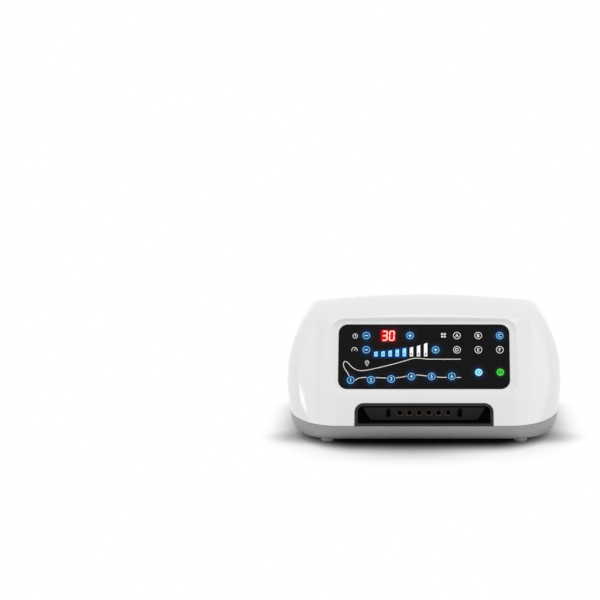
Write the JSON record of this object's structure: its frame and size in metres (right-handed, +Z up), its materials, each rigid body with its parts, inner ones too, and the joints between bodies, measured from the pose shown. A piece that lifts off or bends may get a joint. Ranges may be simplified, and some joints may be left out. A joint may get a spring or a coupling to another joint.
{
  "type": "compression therapy pump",
  "caption": "Table-top air pump console for compression sleeves: white wedge housing on a grey pan, tilted black key panel, front bay with a row of air outlets, mains entry at the rear.",
  "frame": {"origin": "on the table under the middle of the body's box, at the level of the undersides of the feet", "axes": "+X to the viewer's right along the front, +Y from the front to the rear, +Z up"},
  "size_m": [0.28, 0.205, 0.132],
  "materials": {
    "white_shell": "satin gloss moulded ABS",
    "grey_pan": "satin moulded ABS",
    "black_gloss": "high gloss acrylic sheet",
    "black_plastic": "fine grained moulding",
    "key": "gloss, with a printed ring and mark",
    "power_key": "translucent, lit light blue",
    "start_key": "translucent, lit green",
    "grey_rubber": "matte moulded rubber",
    "brown_silicone": "matte silicone",
    "green_board": "solder-masked board",
    "red_lens": "tinted lens",
    "clear_guide": "clear acrylic",
    "manifold_plastic": "black nylon",
    "steel": "zinc plated",
    "cast_metal": "as cast",
    "black_rubber": "matte",
    "hose_silicone": "translucent silicone",
    "iron_core": "varnished laminations",
    "black_moulding": "satin"
  },
  "bodies": {
    "console": {"upper_housing": "white_shell", "base_pan": "grey_pan", "panel_cover": "black_gloss", "port_bay": "black_plastic", "control_board": "green_board", "digit_display": "red_lens", "bar_light_guide": "clear_guide", "air_manifold": "manifold_plastic", "pump_body": "cast_metal", "pump_head_left": "cast_metal", "pump_head_right": "cast_metal", "air_hose": "hose_silicone", "main_board": "green_board", "transformer": "iron_core", "mains_entry": "black_moulding", "outlet_seal_1": "brown_silicone", "solenoid_valve_1": "steel", "outlet_seal_2": "brown_silicone", "solenoid_valve_2": "steel", "outlet_seal_3": "brown_silicone", "solenoid_valve_3": "steel", "outlet_seal_4": "brown_silicone", "solenoid_valve_4": "steel", "outlet_seal_5": "brown_silicone", "solenoid_valve_5": "steel", "outlet_seal_6": "brown_silicone", "solenoid_valve_6": "steel", "foot_front_left": "grey_rubber", "housing_screw_front_left": "steel", "foot_front_right": "grey_rubber", "housing_screw_front_right": "steel", "foot_rear_left": "grey_rubber", "housing_screw_rear_left": "steel", "foot_rear_right": "grey_rubber", "housing_screw_rear_right": "steel", "pump_mount_front_left": "black_rubber", "pump_mount_front_right": "black_rubber", "pump_mount_rear_left": "black_rubber", "pump_mount_rear_right": "black_rubber"},
    "time_minus_button": {"time_minus_key": "key"},
    "time_plus_button": {"time_plus_key": "key"},
    "pressure_minus_button": {"pressure_minus_key": "key"},
    "pressure_plus_button": {"pressure_plus_key": "key"},
    "mode_a_button": {"mode_a_key": "key"},
    "mode_b_button": {"mode_b_key": "key"},
    "mode_c_button": {"mode_c_key": "key"},
    "mode_d_button": {"mode_d_key": "key"},
    "mode_e_button": {"mode_e_key": "key"},
    "mode_f_button": {"mode_f_key": "key"},
    "position_1_button": {"position_1_key": "key"},
    "position_2_button": {"position_2_key": "key"},
    "position_3_button": {"position_3_key": "key"},
    "position_4_button": {"position_4_key": "key"},
    "position_5_button": {"position_5_key": "key"},
    "position_6_button": {"position_6_key": "key"},
    "start_pause_button": {"start_pause_key": "start_key"},
    "power_button": {"power_key": "power_key"},
    "rocker": {"rocker_switch": "black_moulding"},
    "drawer": {"fuse_drawer": "black_moulding"},
    "armature": {"pump_armature": "steel"}
  },
  "joints": [
    {"name": "time_minus_press", "type": "slide", "parent": "console", "child": "time_minus_button", "axis": [0, 0.8829, -0.4695], "range_m": [0, 0.0005], "stiffness_N_per_m": 1500},
    {"name": "time_plus_press", "type": "slide", "parent": "console", "child": "time_plus_button", "axis": [0, 0.8829, -0.4695], "range_m": [0, 0.0005], "stiffness_N_per_m": 1500},
    {"name": "pressure_minus_press", "type": "slide", "parent": "console", "child": "pressure_minus_button", "axis": [0, 0.8829, -0.4695], "range_m": [0, 0.0005], "stiffness_N_per_m": 1500},
    {"name": "pressure_plus_press", "type": "slide", "parent": "console", "child": "pressure_plus_button", "axis": [0, 0.8829, -0.4695], "range_m": [0, 0.0005], "stiffness_N_per_m": 1500},
    {"name": "mode_a_press", "type": "slide", "parent": "console", "child": "mode_a_button", "axis": [0, 0.8829, -0.4695], "range_m": [0, 0.0005], "stiffness_N_per_m": 1500},
    {"name": "mode_b_press", "type": "slide", "parent": "console", "child": "mode_b_button", "axis": [0, 0.8829, -0.4695], "range_m": [0, 0.0005], "stiffness_N_per_m": 1500},
    {"name": "mode_c_press", "type": "slide", "parent": "console", "child": "mode_c_button", "axis": [0, 0.8829, -0.4695], "range_m": [0, 0.0005], "stiffness_N_per_m": 1500},
    {"name": "mode_d_press", "type": "slide", "parent": "console", "child": "mode_d_button", "axis": [0, 0.8829, -0.4695], "range_m": [0, 0.0005], "stiffness_N_per_m": 1500},
    {"name": "mode_e_press", "type": "slide", "parent": "console", "child": "mode_e_button", "axis": [0, 0.8829, -0.4695], "range_m": [0, 0.0005], "stiffness_N_per_m": 1500},
    {"name": "mode_f_press", "type": "slide", "parent": "console", "child": "mode_f_button", "axis": [0, 0.8829, -0.4695], "range_m": [0, 0.0005], "stiffness_N_per_m": 1500},
    {"name": "position_1_press", "type": "slide", "parent": "console", "child": "position_1_button", "axis": [0, 0.8829, -0.4695], "range_m": [0, 0.0005], "stiffness_N_per_m": 1500},
    {"name": "position_2_press", "type": "slide", "parent": "console", "child": "position_2_button", "axis": [0, 0.8829, -0.4695], "range_m": [0, 0.0005], "stiffness_N_per_m": 1500},
    {"name": "position_3_press", "type": "slide", "parent": "console", "child": "position_3_button", "axis": [0, 0.8829, -0.4695], "range_m": [0, 0.0005], "stiffness_N_per_m": 1500},
    {"name": "position_4_press", "type": "slide", "parent": "console", "child": "position_4_button", "axis": [0, 0.8829, -0.4695], "range_m": [0, 0.0005], "stiffness_N_per_m": 1500},
    {"name": "position_5_press", "type": "slide", "parent": "console", "child": "position_5_button", "axis": [0, 0.8829, -0.4695], "range_m": [0, 0.0005], "stiffness_N_per_m": 1500},
    {"name": "position_6_press", "type": "slide", "parent": "console", "child": "position_6_button", "axis": [0, 0.8829, -0.4695], "range_m": [0, 0.0005], "stiffness_N_per_m": 1500},
    {"name": "start_pause_press", "type": "slide", "parent": "console", "child": "start_pause_button", "axis": [0, 0.8829, -0.4695], "range_m": [0, 0.0005], "stiffness_N_per_m": 1500},
    {"name": "power_press", "type": "slide", "parent": "console", "child": "power_button", "axis": [0, 0.8829, -0.4695], "range_m": [0, 0.0005], "stiffness_N_per_m": 1500},
    {"name": "rocker_tilt", "type": "hinge", "parent": "console", "child": "rocker", "pos_m": [0.035, 0.0982, 0.048], "axis": [-1, 0, 0], "range_deg": [0, 18]},
    {"name": "fuse_drawer_slide", "type": "slide", "parent": "console", "child": "drawer", "axis": [0, 1, 0], "range_m": [0, 0.012]},
    {"name": "armature_stroke", "type": "slide", "parent": "console", "child": "armature", "axis": [1, 0, 0], "range_m": [-0.0015, 0.0015], "stiffness_N_per_m": 2500}
  ]
}
